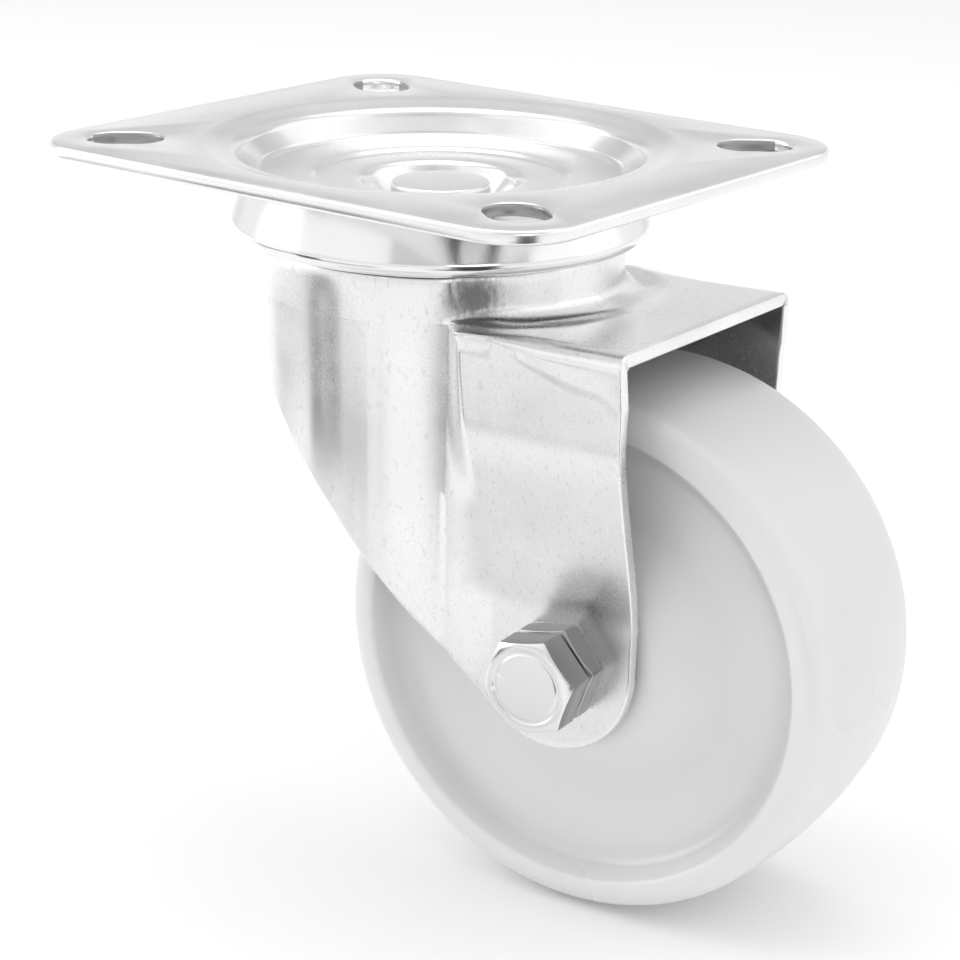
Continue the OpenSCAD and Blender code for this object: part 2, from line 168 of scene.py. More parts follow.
class CastorSettings(bpy.types.PropertyGroup):
    plate: PointerProperty(type=PlateSettings)
    fork: PointerProperty(type=ForkSettings)
    axle: PointerProperty(type=AxleSettings)
    wheel: PointerProperty(type=WheelSettings)
    finish: PointerProperty(type=FinishSettings)


def settings():
    return bpy.context.scene.castor


# Small helpers for profiles and meshes

def mix(a, b, share):
    return a + (b - a) * share


def limit(share):
    return min(1.0, max(0.0, share))


def smooth(share):
    """An even share from 0 to 1, eased at both ends."""
    share = limit(share)
    return share * share * (3 - 2 * share)


def arc(cx, cy, radius, start, end, steps):
    """Points of an arc about (cx, cy), from one angle to the other, in degrees."""
    turns = [math.radians(mix(start, end, i / steps)) for i in range(steps + 1)]
    return [(cx + radius * math.cos(t), cy + radius * math.sin(t)) for t in turns]


def spun(bm, profile, steps, merge=1e-5):
    """Spins a chain of (radius, height) points once about Z, and merges what meets."""
    verts = [bm.verts.new((r, 0, z)) for r, z in profile]
    edges = [bm.edges.new(pair) for pair in zip(verts, verts[1:])]
    bmesh.ops.spin(bm, geom=verts + edges, axis=(0, 0, 1), cent=(0, 0, 0), angle=2 * PI,
                   steps=steps, use_merge=True)
    bmesh.ops.remove_doubles(bm, verts=bm.verts, dist=merge)
    bmesh.ops.recalc_face_normals(bm, faces=bm.faces)


def rounded(bm, width, segments, angle, where=None, clamp=False):
    """Rounds the edges that turn by more than an angle, where the test allows it."""
    edges = [e for e in bm.edges if len(e.link_faces) == 2
             and e.calc_face_angle() > math.radians(angle) and (where is None or where(e))]
    bmesh.ops.bevel(bm, geom=edges, offset=width, segments=segments, profile=0.5, material=-1,
                    affect="EDGES", clamp_overlap=clamp)


def with_thickness(bm, thickness):
    """Gives an open sheet its thickness inwards; the inner face takes the second material."""
    mesh = bpy.data.meshes.new("sheet")
    bm.to_mesh(mesh)
    for _ in range(2):
        mesh.materials.append(None)
    sheet = bpy.data.objects.new("sheet", mesh)
    bpy.context.scene.collection.objects.link(sheet)
    solid = sheet.modifiers.new("thickness", "SOLIDIFY")
    solid.thickness = thickness
    solid.offset = -1
    solid.material_offset = 1
    graph = bpy.context.evaluated_depsgraph_get()
    thick = bpy.data.meshes.new_from_object(sheet.evaluated_get(graph))
    bm.clear()
    bm.from_mesh(thick)
    bpy.data.objects.remove(sheet)
    bpy.data.meshes.remove(mesh)
    bpy.data.meshes.remove(thick)


def finished(bm, name, body, slot, replaced, place=Matrix.Identity(4), inner=None):
    """Turns a shape in millimetres into a piece on a body, in place of a solid."""
    bmesh.ops.transform(bm, matrix=Matrix.Scale(MM, 4) @ place, verts=bm.verts)
    mesh = bpy.data.meshes.new(name)
    bm.to_mesh(mesh)
    bm.free()
    mesh.shade_smooth()
    mesh.set_sharp_from_angle(angle=SHARP_ANGLE)
    mesh.materials.append(finish_of(slot))
    if inner:
        mesh.materials.append(finish_of(inner))
    piece = bpy.data.objects.new(name, mesh)
    bpy.context.scene.collection.objects.link(piece)
    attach(piece, body)
    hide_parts(replaced)


# Finishes

def finish_of(name):
    """A finish made here. The solids' plain materials already hold the bare names."""
    return bpy.data.materials["castor_" + name]


def shaded(colour, share=1.0):
    """A colour made darker, with its alpha."""
    return (*(c * share for c in colour), 1)


class Finish:
    """A material in the making. Inputs are numbers, colours or other nodes' outputs."""

    def __init__(self, name):
        self.material = bpy.data.materials.new("castor_" + name)
        self.material.use_nodes = True
        self.nodes = self.material.node_tree.nodes
        self.links = self.material.node_tree.links
        self.nodes.clear()
        output = self.nodes.new("ShaderNodeOutputMaterial")
        self.shader = self.nodes.new("ShaderNodeBsdfPrincipled")
        self.links.new(self.shader.outputs["BSDF"], output.inputs["Surface"])

    def fill(self, node, inputs):
        for name, value in inputs.items():
            if isinstance(value, bpy.types.NodeSocket):
                self.links.new(value, node.inputs[name])
            else:
                node.inputs[name].default_value = value

    def paint(self, inputs):
        self.fill(self.shader, inputs)

    def node(self, kind, output, inputs, **options):
        node = self.nodes.new(kind)
        for option, value in options.items():
            setattr(node, option, value)
        self.fill(node, inputs)
        return node.outputs[output]

    def place(self):
        return self.node("ShaderNodeTexCoord", "Object", {})

    def noise(self, place, scale, detail, roughness):
        return self.node("ShaderNodeTexNoise", "Fac", {
            "Vector": place, "Scale": scale, "Detail": detail, "Roughness": roughness})

    def spread(self, value, low, high, from_low=0.3, from_high=0.7):
        """Stretches the middle of a value's range to low and high, and holds it there."""
        return self.node("ShaderNodeMapRange", "Result", {
            "Value": value, "From Min": from_low, "From Max": from_high,
            "To Min": low, "To Max": high})

    def worked(self, operation, *terms):
        return self.node("ShaderNodeMath", 0, dict(enumerate(terms)), operation=operation)

    def mixed(self, share, first, second):
        """The first colour where the share is 0, and the second where it is 1."""
        return self.node("ShaderNodeMix", 2, {0: share, 6: first, 7: second}, data_type="RGBA")

    def bumped(self, height, distance_mm, strength, **under):
        return self.node("ShaderNodeBump", "Normal", {
            "Height": height, "Distance": distance_mm * MM, "Strength": strength, **under})

    def patch(self, place, centre, size, turn, breakup):
        """A mask that is 1 inside an oval patch, with a broken edge."""
        oval_place = self.node("ShaderNodeMapping", "Vector", {
            "Vector": place, "Location": centre, "Rotation": (0, 0, turn), "Scale": size},
            vector_type="TEXTURE")
        oval = self.node("ShaderNodeTexGradient", "Fac", {"Vector": oval_place},
                         gradient_type="SPHERICAL")
        return self.spread(self.worked("MULTIPLY_ADD", breakup, 1.1, oval), 0, 1, 0.62, 1.25)


def zinc_finish(name, colour, rough_low, rough_high, wave_mm, pitting=0.0, scuff=None):
    """Bright zinc over pressed sheet: soft waves, cloudy gloss and a few fine specks.

    A scuff is the centre, the half sizes and the turn of a darker worn patch.
    """
    finish = Finish(name)
    where = finish.place()
    cloud = finish.noise(where, 55, 3, 0.55)
    speck = finish.noise(where, 2600, 2, 0.5)
    cloud_share = finish.spread(cloud, 0, 1, 0.35, 0.65)
    tone = finish.mixed(cloud_share, shaded(colour, 0.93), shaded(colour))
    rough = finish.worked("ADD", finish.spread(cloud, rough_low, rough_high),
                          finish.spread(speck, 0, 0.04, 0.5, 0.8))
    if scuff:
        streaked = finish.node("ShaderNodeMapping", "Vector", {
            "Vector": where, "Scale": (1, 1, 0.5), "Rotation": (0, 0, 0.4)})
        streaks = finish.noise(streaked, 1500, 4, 0.7)
        worn = finish.patch(where, *scuff, streaks)
        tone = finish.mixed(worn, tone, shaded(colour, 0.30))
        rough = finish.worked("MULTIPLY_ADD", worn, 0.22, rough)
    waves = finish.noise(where, 120, 2, 0.4)
    grain = finish.noise(where, 900, 5, 0.6)
    wavy = finish.bumped(waves, wave_mm, 0.35)
    finish.paint({"Base Color": tone, "Metallic": 1.0, "Roughness": rough,
                  "Normal": finish.bumped(grain, 0.010, 0.25 + pitting, Normal=wavy)})


def nylon_finish(name, colour):
    """Natural nylon: off-white, a little translucent, with a soft moulded skin."""
    finish = Finish(name)
    cloud = finish.noise(finish.place(), 18, 3, 0.5)
    cloud_share = finish.spread(cloud, 0, 1, 0.1, 0.9)
    finish.paint({
        "Base Color": finish.mixed(cloud_share, shaded(colour, 0.975), shaded(colour)),
        "Roughness": finish.spread(cloud, 0.25, 0.33, 0.1, 0.9),
        "IOR": 1.53,
        "Subsurface Weight": 0.6,
        "Subsurface Radius": (1.0, 1.0, 1.0),
        "Subsurface Scale": 0.005,
        "Normal": finish.bumped(cloud, 0.05, 0.2),
    })


def plain_finish(name, colour, metallic, rough):
    """A simple finish for the pieces inside, with a slight change of gloss."""
    finish = Finish(name)
    cloud = finish.noise(finish.place(), 300, 3, 0.5)
    cloud_share = finish.spread(cloud, 0, 1)
    finish.paint({
        "Base Color": finish.mixed(cloud_share, shaded(colour, 0.85), shaded(colour)),
        "Metallic": metallic,
        "Roughness": finish.spread(cloud, rough, rough + 0.12),
    })


# Pieces

class CASTOR_OT_finishes(bpy.types.Operator):
    """Makes the materials, and gives the solids that stay in view theirs"""
    bl_idname = "castor.finishes"
    bl_label = "Finishes"

    # Share of the zinc's colour, lowest and highest roughness, waves in mm, pitting
    zincs = {
        "zinc_plate": (1.0, 0.19, 0.29, 0.05, 0.0),
        "zinc_race": (1.0, 0.14, 0.21, 0.03, 0.0),
        "zinc_fork": (1.0, 0.20, 0.31, 0.06, 0.0),
        # The fork's inner face is the same zinc as its outer face; its lower share of the colour
        # is painted shade.
        "zinc_inside_painted_shade": (0.55, 0.18, 0.30, 0.06, 0.0),
        "zinc_cut": (0.42, 0.30, 0.50, 0.12, 0.8),
        "zinc_pin": (0.95, 0.26, 0.36, 0.06, 0.0),
        "zinc_bolt": (0.95, 0.20, 0.30, 0.03, 0.0),
        "zinc_side": (0.38, 0.24, 0.38, 0.08, 0.5),
    }
    # The scuff at the foot of the neck: its place round the neck, and its half sizes
    scuff_turn, scuff_radius, scuff_z = math.radians(-47.5), 27.5, -16.4
    scuff_size = (4.0, 5.2, 4.6)
    inner_solids = {
        "bearing_steel": ("upper_balls", "lower_balls", "axle_sleeve", "bearing_rollers"),
        "dark_plastic": ("thrust_ring_near", "thrust_ring_far", "roller_cage"),
        "zinc_race": ("lower_race",),
    }

    def execute(self, context):
        finish = settings().finish
        zinc = tuple(finish.zinc)
        turn = SWIVEL_REST + self.scuff_turn
        centre = Vector((self.scuff_radius * math.cos(turn),
                         self.scuff_radius * math.sin(turn), self.scuff_z)) * MM
        scuff = (centre, Vector(self.scuff_size) * MM, turn)
        for name, (share, *looks) in self.zincs.items():
            zinc_finish(name, tuple(c * share for c in zinc), *looks,
                        scuff=scuff if name == "zinc_fork" else None)
        zinc_finish("zinc_nut", tuple(finish.dull_zinc), 0.30, 0.42, 0.05, 0.5)
        nylon_finish("white_nylon", tuple(finish.nylon))
        plain_finish("bearing_steel", (0.72, 0.73, 0.75), 1.0, 0.12)
        plain_finish("dark_plastic", (0.05, 0.055, 0.065), 0.0, 0.42)
        for name, nodes in self.inner_solids.items():
            for node in nodes:
                solid = frame["nodes"][node]
                solid.data.materials.clear()
                solid.data.materials.append(finish_of(name))
        return {"FINISHED"}


def rounded_outline(half_x, half_y, corner, steps):
    """A rounded rectangle's points, anticlockwise from its right side."""
    points = []
    for k, (sx, sy) in enumerate(((1, 1), (-1, 1), (-1, -1), (1, -1))):
        points += arc(sx * (half_x - corner), sy * (half_y - corner), corner,
                      90 * k, 90 * k + 90, steps)
    return points


def slot_places(plate):
    """Centre and direction of each slot. They all point to the plate's centre."""
    centres = [Vector((sx * plate.slot_across / 2, sy * plate.slot_along / 2))
               for sx in (-1, 1) for sy in (-1, 1)]
    return [(centre, centre.normalized()) for centre in centres]


def slot_outline(centre, along, length, width, steps):
    """Points of a slot with round ends."""
    reach = (length - width) / 2
    points = (arc(reach, 0, width / 2, -90, 90, steps)
              + arc(-reach, 0, width / 2, 90, 270, steps))
    return [centre + along * x + along.orthogonal() * y for x, y in points]


def ring_of(bm, points):
    """A closed loop of edges through the points, at height 0."""
    verts = [bm.verts.new((x, y, 0)) for x, y in points]
    return [bm.edges.new(pair) for pair in zip(verts, verts[1:] + verts[:1])]


class CASTOR_OT_plate(bpy.types.Operator):
    """Makes the slotted top plate with its pressed dish"""
    bl_idname = "castor.plate"
    bl_label = "Top Plate"

    dish_steps = 96
    soft_slope = 5.8
    slope_depth = 0.78

    def profile(self, plate, rim):
        """The dish's upper face, from its centre out to the flat of the plate."""
        floor = -plate.depth
        slope = [(mix(plate.dish + 1.5, rim, share), -self.slope_depth * (1 - smooth(share)))
                 for share in (0.2, 0.4, 0.6, 0.8)]
        return (
            # The cup under the kingpin's head, and its wall up to the dish's floor
            [(0.0, PIN_SEAT), (6.0, PIN_SEAT)]
            + arc(8.0, PIN_SEAT + 1.0, 1.0, -90, -10, 6)
            + arc(12.8, floor - 2.2, 1.6, 170, 90, 8)
            # The floor, with a low step half way
            + [(15.5, floor - 0.58), (18.0, floor - 0.55)]
            + arc(18.1, floor + 0.15, 0.7, -90, -50, 3)
            + arc(19.35, floor - 0.7, 0.7, 128, 90, 3)
            + [(22.0, floor - 0.02), (25.0, floor)]
            # The dish's wall, and the soft slope round it
            + arc(plate.dish - 3.4, floor + 1.2, 1.2, -90, -15, 8)
            + arc(plate.dish + 1.8, -2.55, 1.8, 165, 101, 10)
            + slope + [(rim, 0.0)])

    def execute(self, context):
        plate = settings().plate
        rim = plate.dish + self.soft_slope
        slots = slot_places(plate)
        reach = (plate.slot_length - plate.slot_width) / 2
        last_turn = 360 * (1 - 1 / self.dish_steps)

        def in_opening(face):
            middle = face.calc_center_median().xy
            if middle.length < rim * 0.97:
                return True
            for centre, along in slots:
                offset = middle - centre
                near = offset - along * max(-reach, min(reach, offset.dot(along)))
                if near.length < plate.slot_width / 2 * 0.98:
                    return True
            return False

        def is_cut(face):
            """A wall of a slot, but not the part in the plate's corner square."""
            middle = face.calc_center_median()
            x, y = abs(middle.x), abs(middle.y)
            within = x < PLATE_HIGH.x - 1 and y < PLATE_HIGH.y - 1
            cornered = x > PLATE_HIGH.x - plate.corner and y > PLATE_HIGH.y - plate.corner
            return abs(face.normal.z) < 0.3 and middle.xy.length > rim and within and not cornered

        bm = bmesh.new()
        edges = ring_of(bm, rounded_outline(PLATE_HIGH.x, PLATE_HIGH.y, plate.corner, 16))
        for centre, along in slots:
            edges += ring_of(bm, slot_outline(centre, along, plate.slot_length,
                                              plate.slot_width, 12))
        edges += ring_of(bm, arc(0, 0, rim, 0, last_turn, self.dish_steps - 1))
        bmesh.ops.triangle_fill(bm, edges=edges, use_beauty=True, use_dissolve=False)
        bmesh.ops.delete(bm, geom=[f for f in bm.faces if in_opening(f)], context="FACES_ONLY")
        spun(bm, self.profile(plate, rim), self.dish_steps, merge=1e-3)
        flat = next(f for f in bm.faces if f.calc_center_median().xy.length > rim)
        if flat.normal.z < 0:
            bmesh.ops.reverse_faces(bm, faces=bm.faces)
        bmesh.ops.solidify(bm, geom=bm.faces, thickness=plate.sheet)
        bmesh.ops.recalc_face_normals(bm, faces=bm.faces)
        for f in bm.faces:
            if is_cut(f):
                f.material_index = 1
        rounded(bm, plate.edge, 4, 60, lambda e: all(v.co.xy.length > rim + 0.5 for v in e.verts))
        finished(bm, "top_plate_sheet", "plate", "zinc_plate", "top_plate", inner="zinc_cut")
        return {"FINISHED"}


class CASTOR_OT_race(bpy.types.Operator):
    """Makes the flared race under the plate"""
    bl_idname = "castor.race"
    bl_label = "Upper Race"

    def execute(self, context):
        widest, top = RACE_HIGH.x, RACE_HIGH.z
        bore = 20.0
        sheet = 1.5
        curl, curl_z = 1.7, -11.3
        outer = ([(bore, top), (24.0, top), (widest - 2.9, top + 2.2)]
                 + arc(widest - 2.9, top + 1.2, 1.0, 80, 15, 8)
                 + arc(widest - curl, curl_z, curl, 25, -80, 14))
        inner = (arc(widest - curl, curl_z, curl - sheet, -80, 25, 6)
                 + [(widest - 3.6, top - sheet - 1.2), (widest - 4.2, top - sheet),
                    (bore, top - sheet)])
        bm = bmesh.new()
        spun(bm, outer + inner + outer[:1], 192)
        finished(bm, "upper_race_ring", "plate", "zinc_race", "upper_race")
        return {"FINISHED"}


class CASTOR_OT_kingpin(bpy.types.Operator):
    """Makes the rivet at the centre of the dish"""
    bl_idname = "castor.kingpin"
    bl_label = "Kingpin"

    def execute(self, context):
        head, top, foot = PIN_HIGH.x, PIN_HIGH.z, PIN_LOW.z
        shank = 5.0
        profile = ([(0.0, top + 0.45), (3.0, top + 0.47)]
                   + arc(head - 0.6, top - 0.1, 0.6, 90, 0, 6)
                   + [(head, PIN_SEAT), (shank, PIN_SEAT), (shank, foot + 3.0),
                      (head + 0.2, foot + 3.0)]
                   + arc(head - 1.3, foot + 1.5, 1.5, 0, -90, 6)
                   + [(0.0, foot)])
        bm = bmesh.new()
        spun(bm, profile, 96)
        finished(bm, "kingpin_rivet", "plate", "zinc_pin", "kingpin")
        return {"FINISHED"}


class ForkForm:
    """The fork's outer face on its near side, in the fork's own axes and in millimetres.

    A column runs from the roof's bore out over the neck's shoulder, down the neck, across
    the crown, round the bend and down the leg. Ahead of the legs the crown has no width,
    and the neck runs straight down into the skirt.
    """
    roof_z, roof_bore, shoulder = -12.2, 13.7, 2.1
    # The leg draws in at its knee, and runs straight from a little above the axle.
    knee_z, knee_in, knee_softness, straight_rise = -34.0, 0.7, 0.45, 8.3
    # The concave band between skirt and leg: its front's turn, and its rear's stations
    skirt_turn = math.radians(-55)
    band_rear, band_rear_low, band_fall = 19.4, 22.6, 34
    band_softness, band_run_out, band_foot_x = 0.7, 1.5, 18
    # The step between skirt and neck
    step_z, step_in = -15.5, 0.3
    step_lean, step_width = math.radians(4.5), math.radians(3.2)
    # The bend below the crown: an arc, then a straight facet that grows to the rear
    bend_in, bend_in_rear, bend_fall, bend_share = 4.1, 2.25, 2.25, 0.6
    facet_stations = ((16, 0.9), (23.5, 1.1), (28.5, 2.1), (34, 4.3), (37.5, 5.4),
                      (41.5, 6.0), (43.5, 7.2), (45.2, 9.0))
    # Soft upright creases in the skirt: height, place and width in degrees
    creases = ((0.16, -80, 2.2), (-0.14, -92, 4.0))
    crease_top = -14.5
    skirt_columns, band_columns, leg_columns, edge_columns = 64, 22, 40, 26
    roof_rows, shoulder_rows, neck_rows, foot_rows = 6, 6, 5, 7
    crown_rows, bend_rows, wall_rows = 10, 14, 42

    def __init__(self, fork):
        self.f = fork
        self.low_z = AXLE_Z - fork.leg_end
        self.end_x = fork.rear_low - fork.leg_end
        self.straight_z = AXLE_Z + self.straight_rise
        self.first_edge_column = self.skirt_columns + self.band_columns + self.leg_columns
        self.first_bend_row = (self.roof_rows + self.shoulder_rows + self.neck_rows
                               + self.foot_rows + self.crown_rows)
        self.columns = self.first_edge_column + self.edge_columns
        self.rows = self.first_bend_row + self.bend_rows + self.wall_rows

    def leg_half(self, x, z):
        """Half the width over the legs: it draws in below the bend, and below the knee."""
        f = self.f
        if z > self.knee_z:
            facet = max(0.3, self.facet_drop(x) - 1.0)
            drawn = limit((f.crown - 1.0 - z) / facet)
            return f.crown_half + 0.1 - (self.knee_in + 0.1) * drawn
        share = limit((self.knee_z - z) / (self.knee_z - self.straight_z))
        return mix(f.crown_half - self.knee_in, f.axle_half,
                   mix(share, smooth(share), self.knee_softness))

    def skirt(self, z):
        """Radius of the skirt at a height."""
        f = self.f
        return mix(f.neck, f.skirt_low, limit((f.crown - z) / (f.crown - self.low_z)))

    def band(self, z):
        """Front and rear of the band between skirt and leg, which widens downwards."""
        fallen = smooth((self.f.crown - z) / self.band_fall)
        return (self.skirt(z) * math.cos(self.skirt_turn),
                mix(self.band_rear, self.band_rear_low, fallen))

    def outer_y(self, x, z):
        """Outer face of the near side, from the skirt's rear to the leg's rear edge."""
        front, rear = self.band(z)
        share = limit((rear - x) / (rear - front))
        share = mix(share, smooth(share), self.band_softness)
        return -mix(self.leg_half(x, z), -self.skirt(z) * math.sin(self.skirt_turn), share)

    def crossing(self, share, z):
        """Station of a band column at a height."""
        front, rear = self.band(z)
        return mix(front, rear + self.band_run_out, share)

    def cut_z(self, x):
        """Height of the sheet's lower edge, ahead of the leg's round end."""
        f = self.f
        touch_x = self.end_x - f.leg_end * math.sin(f.slope)
        touch_z = AXLE_Z - f.leg_end * math.cos(f.slope)
        line = touch_z + (touch_x - x) * math.tan(f.slope)
        front = f.brow - 0.5
        soft = 2.2
        gap = front - line
        if gap > soft:
            return line
        return front if gap < -soft else front - (gap + soft) ** 2 / (4 * soft)

    def contour_z(self, x):
        """Height of the sheet's lower edge, round the leg's end too."""
        f = self.f
        if x <= self.end_x - f.leg_end * math.sin(f.slope):
            return self.cut_z(x)
        return AXLE_Z - math.sqrt(max(0.0, f.leg_end ** 2 - (x - self.end_x) ** 2))

    def facet_drop(self, x):
        """Height of the bend below the crown, which grows to the rear."""
        stations = self.facet_stations
        if x <= stations[0][0]:
            return stations[0][1]
        for (x0, drop0), (x1, drop1) in zip(stations, stations[1:]):
            if x <= x1:
                return mix(drop0, drop1, (x - x0) / (x1 - x0))
        return stations[-1][1]

    def neck_radius(self, turn, z):
        """The skirt stands a little proud of the neck's rear, with a step between them."""
        step_turn = self.skirt_turn + self.step_lean * smooth((self.step_z - z) / 4)
        return self.f.neck - self.step_in * smooth((turn - step_turn) / self.step_width)

    def column(self, c):
        """What column c is, where it leaves the crown, and where it ends."""
        f = self.f
        if c <= self.skirt_columns:
            return {"kind": "skirt", "turn": mix(-PI, self.skirt_turn, c / self.skirt_columns)}
        if c > self.first_edge_column:
            return {"kind": "edge", "share": (c - self.first_edge_column) / self.edge_columns}
        c -= self.skirt_columns
        band = min(1.0, c / self.band_columns)
        share = max(0.0, (c - self.band_columns) / self.leg_columns)
        end_x = self.crossing(band, self.cut_z(self.band_foot_x))
        end = (end_x, self.contour_z(end_x))
        if share:
            first = math.acos(max(-1, (end_x - self.end_x) / f.leg_end))
            around = mix(min(first, PI / 2 + f.slope), 0, share)
            end = (self.end_x + f.leg_end * math.cos(around),
                   AXLE_Z - f.leg_end * math.sin(around))
        return {"kind": "leg", "x": mix(self.crossing(band, f.crown), f.rear, share),
                "end": end, "band": band, "bow": 1 - share}

    def bend_inset(self, x, width):
        """How far in from the crown's outline its bend starts."""
        return min(mix(self.bend_in, self.bend_in_rear, (x - 18) / 26), 0.6 * width)

    def plan(self, col):
        """Where the column's bend starts in plan, its turn, and the crown's width there."""
        f = self.f
        if col["kind"] == "skirt":
            return None, col["turn"], 0.0
        if col["kind"] == "edge":
            start = -(self.leg_half(f.rear, f.crown) - self.bend_inset(f.rear, 9))
            edge = Vector((f.rear, start * (1 - col["share"])))
            return edge, math.atan2(edge.y, edge.x), edge.length - f.neck
        x = col["x"]
        outline = Vector((x, self.outer_y(x, f.crown)))
        width = max(0.0, outline.length - f.neck)
        front, rear = self.band(f.crown)
        along = smooth((rear - x) / (rear - front))
        inward = Vector((0, 1)) * (1 - along) - outline.normalized() * along
        edge = outline + inward.normalized() * self.bend_inset(x, width)
        return edge, math.atan2(edge.y, edge.x), width

    def valley(self, turn, radius, width):
        """A shallow hollow pressed round the neck's foot."""
        away = (radius - (self.f.neck + 2.9)) / 1.8
        fade = smooth((math.radians(50) - abs(turn)) / math.radians(18))
        return -0.8 * fade * math.exp(-away * away) * limit(width / 6)

    def point(self, c, row):
        """A point of the near side's outer face."""
        f = self.f
        col = self.column(c)
        edge, turn, width = self.plan(col)
        out = Vector((math.cos(turn), math.sin(turn)))
        wall_top = self.roof_z - self.shoulder
        foot = min(2.0, 0.28 * width)
        foot_rise = max(foot, 0.7)
        if row <= self.roof_rows:
            radius = mix(self.roof_bore, f.neck - self.shoulder, row / self.roof_rows)
            return (*(out * radius), self.roof_z)
        row -= self.roof_rows
        if row <= self.shoulder_rows:
            a = PI / 2 * row / self.shoulder_rows
            radius = f.neck - self.shoulder * (1 - math.sin(a))
            shrink = self.neck_radius(turn, wall_top) - f.neck
            return (*(out * (radius + shrink * math.sin(a))),
                    self.roof_z - self.shoulder * (1 - math.cos(a)))
        row -= self.shoulder_rows
        if row <= self.neck_rows:
            z = mix(wall_top, f.crown + foot_rise, row / self.neck_rows)
            return (*(out * self.neck_radius(turn, z)), z)
        row -= self.neck_rows
        foot_radius = self.neck_radius(turn, f.crown + foot_rise)
        if row <= self.foot_rows:
            a = PI / 2 * row / self.foot_rows
            z = f.crown + foot_rise * (1 - math.sin(a))
            radius = foot_radius + foot * (1 - math.cos(a))
            return (*(out * radius), z + self.valley(turn, radius, width))
        row -= self.foot_rows
        fall = 0.4 * (1 - smooth(width / 3))
        if row <= self.crown_rows:
            share = row / self.crown_rows
            reach = f.neck if edge is None else edge.length
            radius = mix(foot_radius + foot, reach, share)
            return (*(out * radius), f.crown - fall * share + self.valley(turn, radius, width))
        row -= self.crown_rows
        start_z = f.crown - fall
        if col["kind"] == "skirt":
            return self.skirt_point(turn, out, row, start_z)
        return self.leg_point(col, edge, row, start_z)

    def skirt_point(self, turn, out, row, start_z):
        """A point of the skirt, below the crown's height."""
        low_z = start_z - 1.0
        if row <= self.bend_rows:
            z = mix(start_z, low_z, row / self.bend_rows)
            return (*(out * self.skirt(z)), z)
        # The skirt narrows downwards, so its end is found in a few rounds.
        end_z = self.cut_z(self.f.neck * math.cos(turn))
        for _ in range(6):
            end_z = min(low_z - 1, self.cut_z(self.skirt(end_z) * math.cos(turn)))
        z = mix(low_z, end_z, (row - self.bend_rows) / self.wall_rows)
        return (*(out * self.skirt(z)), z)

    def leg_point(self, col, edge, row, start_z):
        """A point of the bend, the band or the leg."""
        x = col["x"]
        low_z = start_z - self.facet_drop(x)
        if row <= self.bend_rows:
            t = row / self.bend_rows
            side_z = start_z - min(self.bend_fall, 0.6 * (start_z - low_z))
            side = Vector((x, self.outer_y(x, side_z), side_z))
            if t > self.bend_share:
                low = Vector((x, self.outer_y(x, low_z), low_z))
                return tuple(side.lerp(low, (t - self.bend_share) / (1 - self.bend_share)))
            a = PI / 2 * t / self.bend_share
            return (x, mix(edge.y, side.y, math.sin(a)), mix(start_z, side.z, 1 - math.cos(a)))
        share = (row - self.bend_rows) / self.wall_rows
        end_x, end_z = col["end"]
        z = mix(low_z, end_z, share)
        band = col["band"]
        straight = mix(self.crossing(band, low_z), self.crossing(band, end_z), share)
        place = mix(x, end_x, share) + (self.crossing(band, z) - straight) * col["bow"]
        return (place, self.outer_y(place, z), z)

    def clear_folds(self, bm):
        """Keeps the inner face clear of folds at the narrow ledge and in the tight bend."""
        f = self.f
        top, bottom = -14.5, -31
        bm.verts.ensure_lookup_table()
        half = len(bm.verts) // 2
        for outer, inner in zip(bm.verts[:half], bm.verts[half:]):
            x, y, z = outer.co
            if not 8 < x < 46 or not bottom < z < top or abs(y) < 15:
                continue
            ledge = (1 - smooth((x - 16.5) / 4)) * smooth((top - z) / 2) * smooth((z - bottom) / 4)
            straight = outer.co - Vector((x, y, 0)).normalized() * f.sheet
            inner.co = inner.co.lerp(straight, ledge)
            if 20 < x < 42 and abs(inner.co.y) > 21:
                reach = self.leg_half(x, inner.co.z) - f.sheet
                inner.co.y = math.copysign(min(abs(inner.co.y), reach), y)
                inner.co.z = min(inner.co.z, f.crown - f.sheet)

    def leaned(self, point):
        """Lets the crown and what lies round it fall a little to one side."""
        x, y, z = point
        fade = smooth((z + 55) / 28) * smooth((-14 - z) / 4) * smooth((x - 6) / 20)
        return Vector((x, y, z - fade * (0.3 + self.f.lean * y)))

    def creased(self, point):
        """Presses the soft upright creases into the skirt."""
        x, y, z = point
        turn = math.degrees(math.atan2(y, x))
        radius = math.hypot(x, y)
        if z > self.crease_top or radius < 20 or turn > -62:
            return Vector(point)
        fade = smooth((self.crease_top - z) / 4)
        ridge = sum(height * math.exp(-((turn - place) / width) ** 2)
                    for height, place, width in self.creases)
        return Vector((x, y, 0)) * (1 + ridge * fade / radius) + Vector((0, 0, z))


